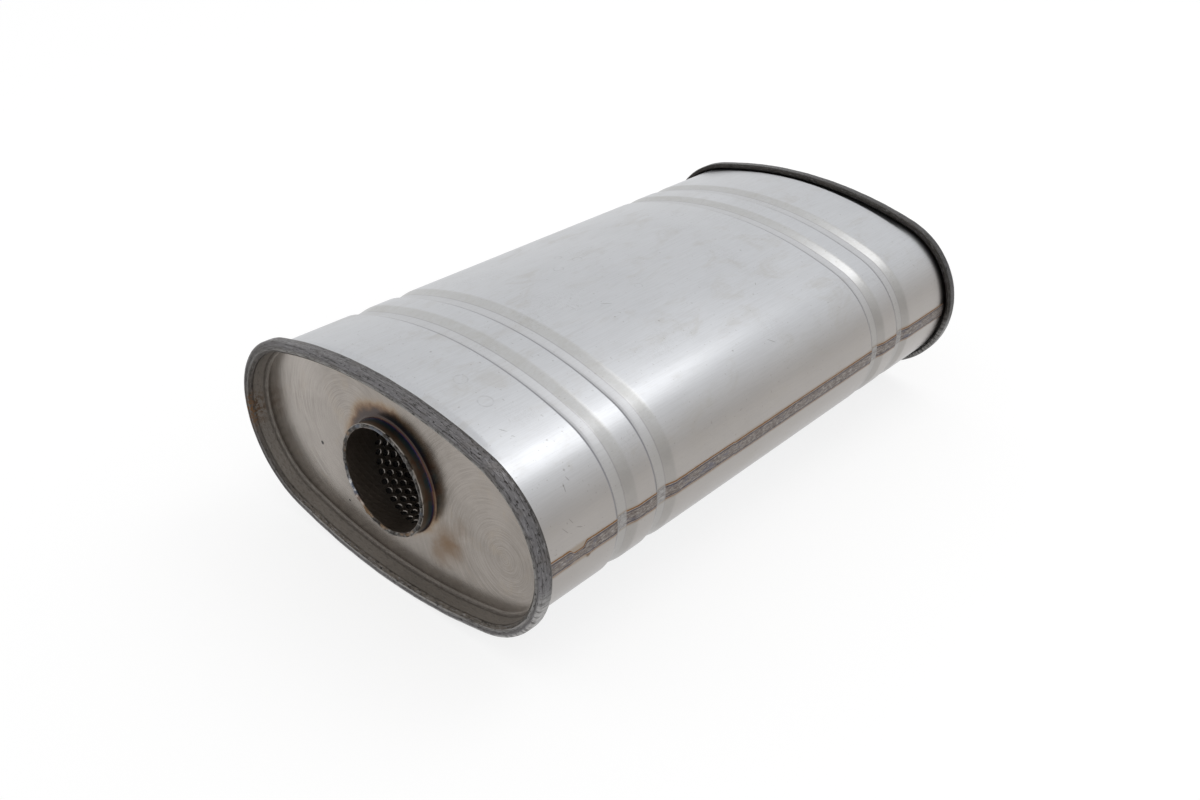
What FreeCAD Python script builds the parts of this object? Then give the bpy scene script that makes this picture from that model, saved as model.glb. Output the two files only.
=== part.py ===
import FreeCAD, Part
import math
import os

import Sketcher
from FreeCAD import Vector

# Oval exhaust resonator: a rolled and seam-welded sheet shell with two pairs of rolled-in grooves,
# a pressed dish locked over each end by a curled bead, and a perforated core tube that runs straight
# through both dishes. Packing fills the space between the core and the shell, and two flanged baffles
# sit between the grooves of each pair.
# Frame: the origin is the centre of the body on the core's axis. Y runs along the core, with the
# front end at -Y. X is the long way across the oval, and Z is up with the part lying flat.

doc = FreeCAD.newDocument("oval_exhaust_resonator")
sheet = doc.addObject("Spreadsheet::Sheet", "Sizes")

SIZES = [
    ("body_length", 395.0, "length from rim to rim"),
    ("shell_half_width", 115.0, "shell outside, half of the long way across"),
    ("shell_half_height", 61.75, "shell outside, half of the short way across"),
    ("shell_side_radius", 50.6, "radius of the shell's rounded sides"),
    ("shell_sheet", 1.2, "thickness of the shell's sheet"),
    ("front_grooves", 141.0, "from the middle of the body forwards to where the front pair of grooves starts"),
    ("rear_grooves", 96.7, "from the middle of the body back to where the rear pair of grooves starts"),
    ("groove_pitch", 30.1, "between the two grooves of a pair"),
    ("groove_depth", 1.3, "depth of a rolled groove"),
    ("groove_floor", 4.8, "width of a groove's flat floor"),
    ("near_flank", 4.0, "width of a groove's steeper side, towards the front"),
    ("far_flank", 8.0, "width of a groove's gentler side, towards the rear"),
    ("shoulder_run", 6.0, "length over which the shell draws down to meet the cap"),
    ("shoulder_drop", 2.45, "how far the shell draws down at its top and bottom"),
    ("shoulder_gap", 0.8, "between the drawn-down shoulder and the bead"),
    ("flange_height", 2.2, "height of the shell edge turned out inside the bead"),
    ("cap_sheet", 1.2, "thickness of the cap's sheet"),
    ("cap_depth", 11.6, "from the rim to the face of the dish"),
    ("cap_corner", 1.8, "corner between the dish wall and its face"),
    ("face_margin", 6.0, "band of the face pressed together with the wall"),
    ("bead_height", 6.7, "from the dish wall to the outside of the bead"),
    ("bead_width", 8.0, "width of the curled bead along the body"),
    ("bead_corner", 1.5, "rounding of the bead's corners"),
    ("curl_reach", 3.0, "how far the curl's lip reaches in behind the flange"),
    ("lap_gap", 0.1, "clearance between lapped sheets"),
    ("core_radius", 30.95, "outside radius of the core tube"),
    ("core_wall", 1.2, "wall of the core tube"),
    ("neck_gap", 0.05, "clearance of the core tube in the cap's neck"),
    ("neck_height", 7.7, "height of the neck above the dish face"),
    ("neck_root", 1.6, "corner at the foot of the neck"),
    ("mouth_weld_height", 0.9, "height of the weld that closes neck and core at the mouth"),
    ("hole_diameter", 3.5, "diameter of a perforation"),
    ("holes_per_turn", 34.0, "perforations in one turn of a row"),
    ("row_pitch", 4.9, "between neighbouring rows of perforations"),
    ("rows_per_turn", 6.0, "rows that one turn of the slanting pattern climbs"),
    ("rows_shown", 2.0, "rows punched at each mouth"),
    ("first_row_angle", 230.0, "angle round the core at which the first row is measured"),
    ("first_row_depth", 17.2, "from the mouth to the first row at that angle"),
    ("seam_height", 1.9, "height of the shell's long seam above the middle"),
    ("seam_gap", 1.0, "gap between the shell's edges, filled by the weld"),
    ("seam_width", 9.0, "width of the seam weld"),
    ("seam_proud", 0.35, "height of the seam weld above the shell"),
    ("baffle_sheet", 1.2, "thickness of a baffle"),
    ("baffle_flange", 11.0, "width of the baffle's rim, held between two grooves"),
    ("baffle_gap", 0.2, "clearance round a baffle and at its collar"),
    ("packing_gap", 0.3, "clearance round the packing"),
]
for row, (alias, size, meaning) in enumerate(SIZES, start=1):
    sheet.set(f"A{row}", meaning)
    sheet.set(f"B{row}", str(size))
    sheet.setAlias(f"B{row}", alias)
doc.recompute()


def bound(expression):
    """The expression with each size's name written as its cell in the sheet."""
    words = expression.replace("(", " ( ").replace(")", " ) ").split()
    names = {alias for alias, _, _ in SIZES}
    return " ".join(f"Sizes.{word}" if word in names else word for word in words)


def number(expression):
    """The value that an expression has now."""
    found = sheet.evalExpression(bound(expression))
    return float(getattr(found, "Value", found))


def plane_of(body, role):
    """The body's own origin plane with this role."""
    return next(feature for feature in body.Origin.OriginFeatures if feature.Role == role)


def new_body(name):
    """An empty body whose label is its name."""
    body = doc.addObject("PartDesign::Body", name)
    body.Label = name
    return body


def new_sketch(body, name, role, offset="0"):
    """A sketch on an origin plane of the body, moved along the plane's normal by offset."""
    sketch = body.newObject("Sketcher::SketchObject", name)
    sketch.AttachmentSupport = [(plane_of(body, role), "")]
    sketch.MapMode = "FlatFace"
    sketch.setExpression(".AttachmentOffset.Base.z", bound(offset))
    return sketch


def bind(sketch, constraint, expression):
    """Adds a constraint that takes its value from the sheet."""
    index = sketch.addConstraint(constraint)
    sketch.setExpression(f"Constraints[{index}]", bound(expression))


def draw_outline(sketch, points):
    """A closed outline of straight lines through points given as pairs of expressions."""
    places = [Vector(number(across), number(up), 0) for across, up in points]
    lines = [
        sketch.addGeometry(Part.LineSegment(places[i], places[(i + 1) % len(places)]), False)
        for i in range(len(places))
    ]
    for i, line in enumerate(lines):
        following = lines[(i + 1) % len(lines)]
        sketch.addConstraint(Sketcher.Constraint("Coincident", line, 2, following, 1))
    for line, place, (across, up) in zip(lines, places, points):
        bind(sketch, Sketcher.Constraint("DistanceX", -1, 1, line, 1, place.x), across)
        bind(sketch, Sketcher.Constraint("DistanceY", -1, 1, line, 1, place.y), up)


def draw_circle(sketch, radius):
    """A circle about the sketch's origin."""
    circle = sketch.addGeometry(Part.Circle(Vector(), Vector(0, 0, 1), number(radius)), False)
    sketch.addConstraint(Sketcher.Constraint("Coincident", circle, 3, -1, 1))
    bind(sketch, Sketcher.Constraint("Radius", circle, number(radius)), radius)


def draw_oval(sketch, oval, grown="0"):
    """A four-arc oval, grown outwards all round, that starts and ends at the top's middle.

    oval holds the half width, half height and side radius. The top is drawn as two arcs that meet
    on the middle line, where a swept profile starts.
    """
    width, height, side = oval
    reach = f"( {width} - {side} )"
    flat = f"( ( {reach} * {reach} + {height} * {height} - {side} * {side} ) / ( 2 * ( {height} - {side} ) ) )"
    flat_radius = f"{flat} + {grown}"
    side_radius = f"{side} + {grown}"
    centre_x = number(reach)
    centre_y = number(f"{height} - {flat}")
    turn = math.atan2(-centre_y, centre_x)

    def arc(x, y, radius, start, end):
        circle = Part.Circle(Vector(x, y, 0), Vector(0, 0, 1), number(radius))
        return sketch.addGeometry(Part.ArcOfCircle(circle, start, end), False)

    top_right = arc(0, centre_y, flat_radius, turn, math.pi / 2)
    right = arc(centre_x, 0, side_radius, -turn, turn)
    bottom = arc(0, -centre_y, flat_radius, turn - math.pi, -turn)
    left = arc(-centre_x, 0, side_radius, math.pi - turn, math.pi + turn)
    top_left = arc(0, centre_y, flat_radius, math.pi / 2, math.pi - turn)

    sketch.addConstraint(Sketcher.Constraint("Tangent", top_right, 1, right, 2))
    sketch.addConstraint(Sketcher.Constraint("Tangent", right, 1, bottom, 2))
    sketch.addConstraint(Sketcher.Constraint("Tangent", bottom, 1, left, 2))
    sketch.addConstraint(Sketcher.Constraint("Tangent", left, 1, top_left, 2))
    sketch.addConstraint(Sketcher.Constraint("Coincident", top_right, 2, top_left, 1))
    sketch.addConstraint(Sketcher.Constraint("Coincident", top_right, 3, top_left, 3))
    sketch.addConstraint(Sketcher.Constraint("PointOnObject", top_right, 2, -2))
    sketch.addConstraint(Sketcher.Constraint("PointOnObject", right, 3, -1))
    sketch.addConstraint(Sketcher.Constraint("PointOnObject", left, 3, -1))
    bind(sketch, Sketcher.Constraint("DistanceX", -1, 1, right, 3, centre_x), reach)
    bind(sketch, Sketcher.Constraint("DistanceX", left, 3, -1, 1, centre_x), reach)
    bind(sketch, Sketcher.Constraint("Radius", right, number(side_radius)), side_radius)
    bind(sketch, Sketcher.Constraint("Radius", left, number(side_radius)), side_radius)
    bind(sketch, Sketcher.Constraint("Radius", top_right, number(flat_radius)), flat_radius)
    bind(sketch, Sketcher.Constraint("Radius", bottom, number(flat_radius)), flat_radius)


def sweep(body, name, profile, path):
    """The profile carried once round the path."""
    pipe = body.newObject("PartDesign::AdditivePipe", name)
    pipe.Profile = profile
    pipe.Spine = (path, [""])
    return pipe


def pad(body, name, sketch, length):
    """A pad from the sketch's plane along its normal."""
    feature = body.newObject("PartDesign::Pad", name)
    feature.Profile = sketch
    feature.setExpression("Length", bound(length))
    return feature


SHELL_OVAL = ("shell_half_width", "shell_half_height", "shell_side_radius")

# The inside of a cap's dish wall. At the sides the wall fits straight into the shell. At the top and
# bottom the shell draws down to it.
FIT = "( shell_sheet + lap_gap + cap_sheet )"
DISH_WIDTH = f"( shell_half_width - {FIT} )"
DISH_HEIGHT = f"( shell_half_height - shoulder_drop - {FIT} )"
DISH_RADIUS = f"( shell_side_radius - {FIT} )"
CAP_OVAL = (DISH_WIDTH, DISH_HEIGHT, DISH_RADIUS)

# Stations along the body, measured outwards from its middle.
RIM = "( body_length / 2 )"
BEAD_BACK = f"( {RIM} - bead_width )"
SHOULDER_END = f"( {BEAD_BACK} - shoulder_gap )"
SHOULDER_START = f"( {SHOULDER_END} - shoulder_run )"
FLANGE_FACE = f"( {RIM} - cap_sheet - lap_gap )"
FACE = f"( {RIM} - cap_depth )"
FACE_BACK = f"( {FACE} - cap_sheet )"
MOUTH = f"( {FACE} + neck_height )"
GROOVE_WIDTH = "( near_flank + groove_floor + far_flank )"
FRONT_BAFFLE = f"( front_grooves - ( groove_pitch + {GROOVE_WIDTH} + baffle_flange ) / 2 )"
REAR_BAFFLE = f"( rear_grooves + ( groove_pitch + {GROOVE_WIDTH} - baffle_flange ) / 2 )"

# The shell's inside and outside where it is lapped over the cap, measured from the dish wall.
LAP_IN = "( cap_sheet + lap_gap )"
LAP_OUT = f"( {LAP_IN} + shell_sheet )"


def groove_line(rise, end):
    """The shell's line along the body with its four grooves, raised by rise, front to rear.

    end is the station where the line stops at either end. One roller makes all four, so their
    steeper sides all face the same way.
    """
    top = f"shell_half_height + {rise}"
    floor = f"shell_half_height - groove_depth + {rise}"
    line = [(f"-1 * {end}", top)]
    for pair in ("( -1 * front_grooves )", "rear_grooves"):
        for edge in (pair, f"( {pair} + groove_pitch )"):
            line += [
                (edge, top),
                (f"{edge} + near_flank", floor),
                (f"{edge} + near_flank + groove_floor", floor),
                (f"{edge} + {GROOVE_WIDTH}", top),
            ]
    line.append((end, top))
    return line


def make_shell():
    """The rolled sheet with its grooves, drawn-down ends and turned-out edges."""
    body = new_body("shell")
    path = new_sketch(body, "shell_path", "XZ_Plane")
    draw_oval(path, SHELL_OVAL)
    wall = new_sketch(body, "shell_wall", "YZ_Plane")
    outside = groove_line("0", SHOULDER_START)
    inside = groove_line("( -1 * shell_sheet )", SHOULDER_START)
    draw_outline(wall, outside + inside[::-1])
    doc.recompute()
    sweep(body, "grooved_wall", wall, path)
    doc.recompute()

    for end, side in (("front", "1"), ("rear", "-1")):
        start = new_sketch(body, f"{end}_shoulder_start", "XZ_Plane", f"{side} * {SHOULDER_START}")
        draw_oval(start, SHELL_OVAL)
        draw_oval(start, SHELL_OVAL, "( -1 * shell_sheet )")
        finish = new_sketch(body, f"{end}_shoulder_end", "XZ_Plane", f"{side} * {SHOULDER_END}")
        draw_oval(finish, CAP_OVAL, LAP_OUT)
        draw_oval(finish, CAP_OVAL, LAP_IN)
        doc.recompute()
        shoulder = body.newObject("PartDesign::AdditiveLoft", f"{end}_shoulder")
        shoulder.Profile = start
        shoulder.Sections = [finish]
        shoulder.Ruled = True
        doc.recompute()

        lap_path = new_sketch(body, f"{end}_lap_path", "XZ_Plane")
        draw_oval(lap_path, CAP_OVAL)
        lap = new_sketch(body, f"{end}_lap", "YZ_Plane")
        sign = f"( -1 * {side} )"
        flange_back = f"( {FLANGE_FACE} - shell_sheet )"
        draw_outline(
            lap,
            [
                (f"{sign} * {SHOULDER_END}", f"{DISH_HEIGHT} + {LAP_IN}"),
                (f"{sign} * {FLANGE_FACE}", f"{DISH_HEIGHT} + {LAP_IN}"),
                (f"{sign} * {FLANGE_FACE}", f"{DISH_HEIGHT} + {LAP_OUT} + flange_height"),
                (f"{sign} * {flange_back}", f"{DISH_HEIGHT} + {LAP_OUT} + flange_height"),
                (f"{sign} * {flange_back}", f"{DISH_HEIGHT} + {LAP_OUT}"),
                (f"{sign} * {SHOULDER_END}", f"{DISH_HEIGHT} + {LAP_OUT}"),
            ],
        )
        doc.recompute()
        sweep(body, f"{end}_turned_edge", lap, lap_path)
        doc.recompute()

    slot = new_sketch(body, "seam_slot", "YZ_Plane")
    low = "seam_height - seam_gap / 2"
    high = "seam_height + seam_gap / 2"
    front = f"-1 * {SHOULDER_END}"
    draw_outline(slot, [(front, low), (SHOULDER_END, low), (SHOULDER_END, high), (front, high)])
    doc.recompute()
    cut = body.newObject("PartDesign::Pocket", "seam_opening")
    cut.Profile = slot
    cut.Reversed = True
    cut.setExpression("Length", bound("shell_half_width + bead_height"))
    doc.recompute()
    return body


def make_seam_weld(shell):
    """The weld that fills the gap between the shell's edges and stands a little proud of it."""
    blank = new_body("seam_blank")
    path = new_sketch(blank, "seam_path", "XZ_Plane")
    draw_oval(path, SHELL_OVAL)
    wall = new_sketch(blank, "seam_wall", "YZ_Plane")
    crown = groove_line("seam_proud", SHOULDER_END)
    root = groove_line("( -1 * shell_sheet )", SHOULDER_END)
    draw_outline(wall, crown + root[::-1])
    doc.recompute()
    sweep(blank, "seam_ring", wall, path)
    band = doc.addObject("Part::Box", "seam_band")
    band.setExpression("Length", bound("shell_half_width + bead_height"))
    band.setExpression("Width", bound("body_length"))
    band.setExpression("Height", bound("seam_width"))
    band.setExpression(".Placement.Base.y", bound("-0.5 * body_length"))
    band.setExpression(".Placement.Base.z", bound("seam_height - seam_width / 2"))
    strip = doc.addObject("Part::Common", "seam_strip")
    strip.Base = blank
    strip.Tool = band
    weld = doc.addObject("Part::Cut", "shell_seam_weld")
    weld.Base = strip
    weld.Tool = shell
    doc.recompute()
    return weld


def make_cap(name, side):
    """A pressed end cap: bead, dish wall, flat face and the neck that the core tube ends in.

    side is -1 for the front and 1 for the rear.
    """
    body = new_body(name)
    tag = name.split("_")[0]

    def out(station):
        return f"{side} * {station}"

    def up(rise):
        return f"{DISH_HEIGHT} + {rise}"

    path = new_sketch(body, f"{tag}_cap_path", "XZ_Plane")
    draw_oval(path, CAP_OVAL)
    section = new_sketch(body, f"{tag}_cap_section", "YZ_Plane")
    lip = "( bead_height - curl_reach )"
    draw_outline(
        section,
        [
            (out(FACE), up("( -1 * face_margin )")),
            (out(FACE), up("( -1 * cap_corner )")),
            (out(f"( {FACE} + cap_corner )"), up("0")),
            (out(f"( {RIM} - bead_corner )"), up("0")),
            (out(RIM), up("bead_corner")),
            (out(RIM), up("( bead_height - bead_corner )")),
            (out(f"( {RIM} - bead_corner )"), up("bead_height")),
            (out(BEAD_BACK), up("bead_height")),
            (out(BEAD_BACK), up(lip)),
            (out(f"( {BEAD_BACK} + cap_sheet )"), up(lip)),
            (out(f"( {BEAD_BACK} + cap_sheet )"), up("( bead_height - cap_sheet )")),
            (out(f"( {RIM} - cap_sheet )"), up("( bead_height - cap_sheet )")),
            (out(f"( {RIM} - cap_sheet )"), up("cap_sheet")),
            (out(FACE_BACK), up("cap_sheet")),
            (out(FACE_BACK), up("( -1 * face_margin )")),
        ],
    )
    doc.recompute()
    sweep(body, f"{tag}_bead_and_wall", section, path)
    doc.recompute()

    neck_bore = "( core_radius + neck_gap )"
    start = FACE if side == -1 else FACE_BACK
    face = new_sketch(body, f"{tag}_face_outline", "XZ_Plane", f"-1 * {side} * {start}")
    draw_oval(face, CAP_OVAL, "( -1 * face_margin )")
    draw_circle(face, f"{neck_bore} + cap_sheet")
    doc.recompute()
    plate = pad(body, f"{tag}_face", face, "cap_sheet")
    plate.Reversed = True
    doc.recompute()

    neck = new_sketch(body, f"{tag}_neck_section", "YZ_Plane")
    draw_outline(
        neck,
        [
            (out(FACE_BACK), neck_bore),
            (out(MOUTH), neck_bore),
            (out(MOUTH), f"{neck_bore} + cap_sheet"),
            (out(f"( {FACE} + neck_root )"), f"{neck_bore} + cap_sheet"),
            (out(FACE), f"{neck_bore} + cap_sheet + neck_root"),
            (out(FACE_BACK), f"{neck_bore} + cap_sheet + neck_root"),
        ],
    )
    doc.recompute()
    ring = body.newObject("PartDesign::Revolution", f"{tag}_neck")
    ring.Profile = neck
    ring.ReferenceAxis = (neck, ["H_Axis"])
    ring.Angle = 360
    doc.recompute()
    return body


def make_mouth_weld(name, side):
    """The weld run round a mouth that closes the neck and the core tube together."""
    body = new_body(name)
    outer = "( core_radius + neck_gap + cap_sheet )"
    inner = "( core_radius - core_wall )"
    section = new_sketch(body, f"{name}_section", "YZ_Plane")
    crown = f"{side} * ( {MOUTH} + mouth_weld_height )"
    draw_outline(
        section,
        [
            (f"{side} * {MOUTH}", inner),
            (f"{side} * {MOUTH}", outer),
            (crown, f"( {outer} + {inner} ) / 2"),
        ],
    )
    doc.recompute()
    ring = body.newObject("PartDesign::Revolution", f"{name}_ring")
    ring.Profile = section
    ring.ReferenceAxis = (section, ["H_Axis"])
    ring.Angle = 360
    doc.recompute()
    return body


def make_core():
    """The perforated core tube, mouth to mouth, with slanting rows of punched holes.

    A punch takes out as much of the wall as the round hole does, with four plain sides.
    """

    def barrel(name, radius):
        cylinder = doc.addObject("Part::Cylinder", name)
        cylinder.setExpression("Radius", bound(radius))
        cylinder.setExpression("Height", bound(f"2 * {MOUTH}"))
        along_y = FreeCAD.Rotation(Vector(1, 0, 0), -90)
        cylinder.Placement = FreeCAD.Placement(Vector(), along_y)
        cylinder.setExpression(".Placement.Base.y", bound(f"-1 * {MOUTH}"))
        return cylinder

    wall = doc.addObject("Part::Cut", "core_wall")
    wall.Base = barrel("core_outside", "core_radius")
    wall.Tool = barrel("core_inside", "( core_radius - core_wall )")

    holes = round(number("holes_per_turn"))
    rows = round(number("rows_shown"))
    mouth = number(MOUTH)
    climb = number("row_pitch * rows_per_turn / 360")
    step = 360.0 / holes
    width = number("hole_diameter") * math.sqrt(math.pi) / 2
    sweep_angle = math.degrees(width / number("core_radius"))
    deep = number("core_radius - 2 * core_wall")
    high = number("core_radius + core_wall")
    corners = [
        Vector(0, -width / 2, deep),
        Vector(0, width / 2, deep),
        Vector(0, width / 2, high),
        Vector(0, -width / 2, high),
    ]
    section = Part.Face(Part.makePolygon(corners + corners[:1]))
    blank = section.revolve(Vector(), Vector(0, 1, 0), sweep_angle)
    punches = []
    for row_number in range(rows):
        stagger = step / 2 * (row_number % 2)
        for hole in range(holes):
            angle = step * hole + stagger
            slant = climb * (angle - number("first_row_angle"))
            depth = number("first_row_depth") - slant + row_number * number("row_pitch")
            front = blank.copy()
            front.rotate(Vector(), Vector(0, 1, 0), 90 - angle - sweep_angle / 2)
            front.translate(Vector(0, depth - mouth, 0))
            rear = front.copy()
            rear.rotate(Vector(), Vector(0, 0, 1), 180)
            punches += [front, rear]
    punched = doc.addObject("Part::Feature", "core_punches")
    punched.Shape = Part.makeCompound(punches)
    core = doc.addObject("Part::Cut", "perforated_core_tube")
    core.Base = wall
    core.Tool = punched
    doc.recompute()
    return core


def make_baffle(name, side, plate_at):
    """A pressed oval baffle whose turned rim is held between the two grooves of a pair.

    plate_at is how far its plate lies from the middle of the body.
    """
    body = new_body(name)
    edge = "( -1 * shell_sheet - baffle_gap )"
    path = new_sketch(body, f"{name}_path", "XZ_Plane")
    draw_oval(path, SHELL_OVAL)
    rim = new_sketch(body, f"{name}_rim_section", "YZ_Plane")
    near = f"( {side} * {plate_at} )"
    far = f"( {side} * ( {plate_at} + baffle_flange ) )"
    outside = f"shell_half_height + {edge}"
    inside = f"shell_half_height + {edge} - baffle_sheet"
    draw_outline(rim, [(near, inside), (far, inside), (far, outside), (near, outside)])
    doc.recompute()
    sweep(body, f"{name}_rim", rim, path)
    doc.recompute()
    start = f"-1 * {side} * {plate_at}"
    plate = new_sketch(body, f"{name}_plate_outline", "XZ_Plane", start)
    draw_oval(plate, SHELL_OVAL, f"{edge} - baffle_sheet")
    draw_circle(plate, "core_radius + baffle_gap")
    doc.recompute()
    web = pad(body, f"{name}_plate", plate, "baffle_sheet")
    web.Reversed = side == 1
    doc.recompute()
    return body


def make_packing(name, start, end):
    """A block of absorbing fibre packed round the core between two stations along the body."""
    body = new_body(name)
    outline = new_sketch(body, f"{name}_outline", "XZ_Plane", f"-1 * ( {start} )")
    draw_oval(outline, SHELL_OVAL, "( -1 * groove_depth - shell_sheet - packing_gap )")
    draw_circle(outline, "core_radius + packing_gap")
    doc.recompute()
    block = pad(body, f"{name}_block", outline, f"( {end} ) - ( {start} )")
    block.Reversed = True
    doc.recompute()
    return body


shell = make_shell()
end_stop = f"( {FACE_BACK} - packing_gap )"
front_block = f"( {FRONT_BAFFLE} + baffle_flange + packing_gap )"
rear_block = f"( {REAR_BAFFLE} + baffle_flange + packing_gap )"
parts = [
    shell,
    make_seam_weld(shell),
    make_cap("front_end_cap", -1),
    make_cap("rear_end_cap", 1),
    make_core(),
    make_mouth_weld("front_mouth_weld", -1),
    make_mouth_weld("rear_mouth_weld", 1),
    make_baffle("front_baffle", -1, FRONT_BAFFLE),
    make_baffle("rear_baffle", 1, REAR_BAFFLE),
    make_packing("front_packing", f"-1 * {end_stop}", f"-1 * {front_block}"),
    make_packing("middle_packing", f"-1 * ( {FRONT_BAFFLE} - packing_gap )", f"( {REAR_BAFFLE} - packing_gap )"),
    make_packing("rear_packing", rear_block, end_stop),
]
doc.recompute()

for thing in doc.Objects:
    if "Invalid" in thing.State or "Error" in thing.State:
        raise RuntimeError(f"{thing.Name} failed: {thing.State}")
for part in parts:
    if part.Shape.isNull() or not part.Shape.isValid() or not part.Shape.Solids:
        raise RuntimeError(f"{part.Label} has no valid solid")

os.makedirs("parts", exist_ok=True)
for part in parts:
    part.Shape.exportStep(f"parts/{part.Label}.step")
    size = part.Shape.BoundBox
    print(part.Label, len(part.Shape.Solids), round(part.Shape.Volume), size)
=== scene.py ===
import math

import bpy
import numpy as np
from mathutils import Matrix, Vector, noise


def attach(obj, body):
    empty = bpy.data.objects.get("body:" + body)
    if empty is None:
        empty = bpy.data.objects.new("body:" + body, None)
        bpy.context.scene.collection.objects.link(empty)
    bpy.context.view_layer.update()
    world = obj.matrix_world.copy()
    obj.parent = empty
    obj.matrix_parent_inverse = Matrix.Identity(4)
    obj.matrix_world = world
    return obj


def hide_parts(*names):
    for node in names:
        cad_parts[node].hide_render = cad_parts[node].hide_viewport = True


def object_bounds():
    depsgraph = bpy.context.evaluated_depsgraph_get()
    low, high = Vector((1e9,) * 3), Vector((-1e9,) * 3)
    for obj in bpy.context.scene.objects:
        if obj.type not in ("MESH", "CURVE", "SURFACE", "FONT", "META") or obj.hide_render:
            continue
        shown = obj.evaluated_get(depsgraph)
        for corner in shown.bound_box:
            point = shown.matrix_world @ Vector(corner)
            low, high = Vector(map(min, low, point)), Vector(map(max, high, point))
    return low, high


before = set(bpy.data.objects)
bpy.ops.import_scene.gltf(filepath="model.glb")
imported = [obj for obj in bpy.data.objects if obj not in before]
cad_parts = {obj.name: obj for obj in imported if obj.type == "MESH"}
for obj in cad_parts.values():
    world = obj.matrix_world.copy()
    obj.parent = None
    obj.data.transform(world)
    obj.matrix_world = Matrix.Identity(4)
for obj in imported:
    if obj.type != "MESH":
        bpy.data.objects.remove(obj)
cad_bounds = [list(corner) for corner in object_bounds()]

MM = 0.001

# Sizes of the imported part, in millimetres, as the part's source has them.
RIM = 197.5
FACE = RIM - 11.6
FACE_BACK = FACE - 1.2
BEAD_BACK = RIM - 8.0
SHOULDER_END = BEAD_BACK - 0.8
SHOULDER_START = SHOULDER_END - 6.0
NECK_HEIGHT = 7.7
MOUTH = FACE + NECK_HEIGHT
SHEET = 1.2
SHELL_OVAL = (115.0, 61.75, 50.6)
DISH_OVAL = (112.5, 56.8, 48.1)
BEAD_HEIGHT = 6.7
BEAD_REACH = (DISH_OVAL[0] + BEAD_HEIGHT, DISH_OVAL[1] + BEAD_HEIGHT)
GROOVE_STARTS = (-141.0, -110.9, 96.7, 126.8)
GROOVE_DEPTH = 1.3
NEAR_FLANK = 4.0
GROOVE_FLOOR = 4.8
FAR_FLANK = 8.0
GROOVE_WIDTH = NEAR_FLANK + GROOVE_FLOOR + FAR_FLANK
CORE_OUT = 30.95
CORE_IN = 29.75
NECK_IN = 31.0
NECK_OUT = 32.2
SEAM_Z = 1.9
SEAM_HALF = 4.5

# Sizes that only this script has.
BEAD_TRAVEL = 32.0  # the stretch of the cap's outline that the rim's tones are given over
LAP_GAP = 0.1  # between the dish wall and the shell's edge round it
CURL_GAP = 0.3  # between the shell's edge and the bead it ends in
FACE_MARGIN = 6.0  # of the face beside the dish wall, before its rings turn round
NECK_ROOT = 1.9  # radius between face and neck
SEAM_ROOT = 0.3  # depth of the weld's underside in the shell
BEFORE_GROOVE = 4.0  # of shell ahead of a groove is painted with it


# Geometry helpers

def oval(size, count, grown=0.0):
    """Points round a four-arc oval in x and z, evenly spaced from the middle of the bottom.

    Their normals and their distances along the oval come with them.
    """
    width, height, side = size
    reach = width - side
    flat = (reach**2 + height**2 - side**2) / (2 * (height - side))
    turn = math.atan2(flat - height, reach)
    arcs = [
        ((0, flat - height), flat, -math.pi / 2, -turn),
        ((reach, 0), side, -turn, turn),
        ((0, height - flat), flat, turn, math.pi - turn),
        ((-reach, 0), side, math.pi - turn, math.pi + turn),
        ((0, flat - height), flat, math.pi + turn, 1.5 * math.pi),
    ]
    lengths = np.array([radius * (end - start) for _, radius, start, end in arcs])
    stops = np.concatenate([[0], np.cumsum(lengths)])
    along = np.linspace(0, stops[-1], count, endpoint=False)
    points = np.zeros((count, 2))
    normals = np.zeros((count, 2))
    for (centre, radius, start, end), low, high in zip(arcs, stops[:-1], stops[1:]):
        inside = (along >= low) & (along < high)
        angle = start + (along[inside] - low) / (high - low) * (end - start)
        normals[inside] = np.stack([np.cos(angle), np.sin(angle)], axis=1)
        points[inside] = np.array(centre) + (radius + grown) * normals[inside]
    return points, normals, along


def grid_faces(rows, columns, closed_columns=True, closed_rows=False):
    """Quads over a grid of points, row by row."""
    row_count = rows if closed_rows else rows - 1
    column_count = columns if closed_columns else columns - 1
    r, c = np.meshgrid(np.arange(row_count), np.arange(column_count), indexing="ij")
    r2 = (r + 1) % rows
    c2 = (c + 1) % columns
    quads = [r * columns + c, r * columns + c2, r2 * columns + c2, r2 * columns + c]
    return np.stack(quads, axis=-1).reshape(-1, 4)


def new_piece(name, verts, faces, material, cad_nodes, smooth=True, uv=None):
    """A mesh object in place of CAD nodes. Verts are in millimetres; faces are quads and triangles."""
    mesh = bpy.data.meshes.new(name)
    verts = np.asarray(verts, float)
    mesh.vertices.add(len(verts))
    mesh.vertices.foreach_set("co", (verts * MM).astype(np.float32).ravel())
    loops = np.concatenate([np.asarray(f, np.int64).ravel() for f in faces])
    totals = np.concatenate([np.full(len(f), np.asarray(f).shape[1]) for f in faces])
    starts = np.concatenate([[0], np.cumsum(totals)[:-1]])
    mesh.loops.add(len(loops))
    mesh.loops.foreach_set("vertex_index", loops)
    mesh.polygons.add(len(totals))
    mesh.polygons.foreach_set("loop_start", starts)
    mesh.polygons.foreach_set("loop_total", totals)
    if uv is not None:
        layer = mesh.uv_layers.new(name="strip")
        layer.data.foreach_set("uv", np.asarray(uv, np.float32)[loops].ravel())
    mesh.update(calc_edges=True)
    mesh.validate()
    mesh.polygons.foreach_set("use_smooth", np.full(len(mesh.polygons), smooth))
    piece = bpy.data.objects.new(name, mesh)
    bpy.context.scene.collection.objects.link(piece)
    mesh.materials.append(material)
    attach(piece, "root")
    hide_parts(*cad_nodes)
    return piece


def noise_row(places):
    """The noise at each of the places."""
    return np.array([noise.noise(Vector(place)) for place in places])


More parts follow.
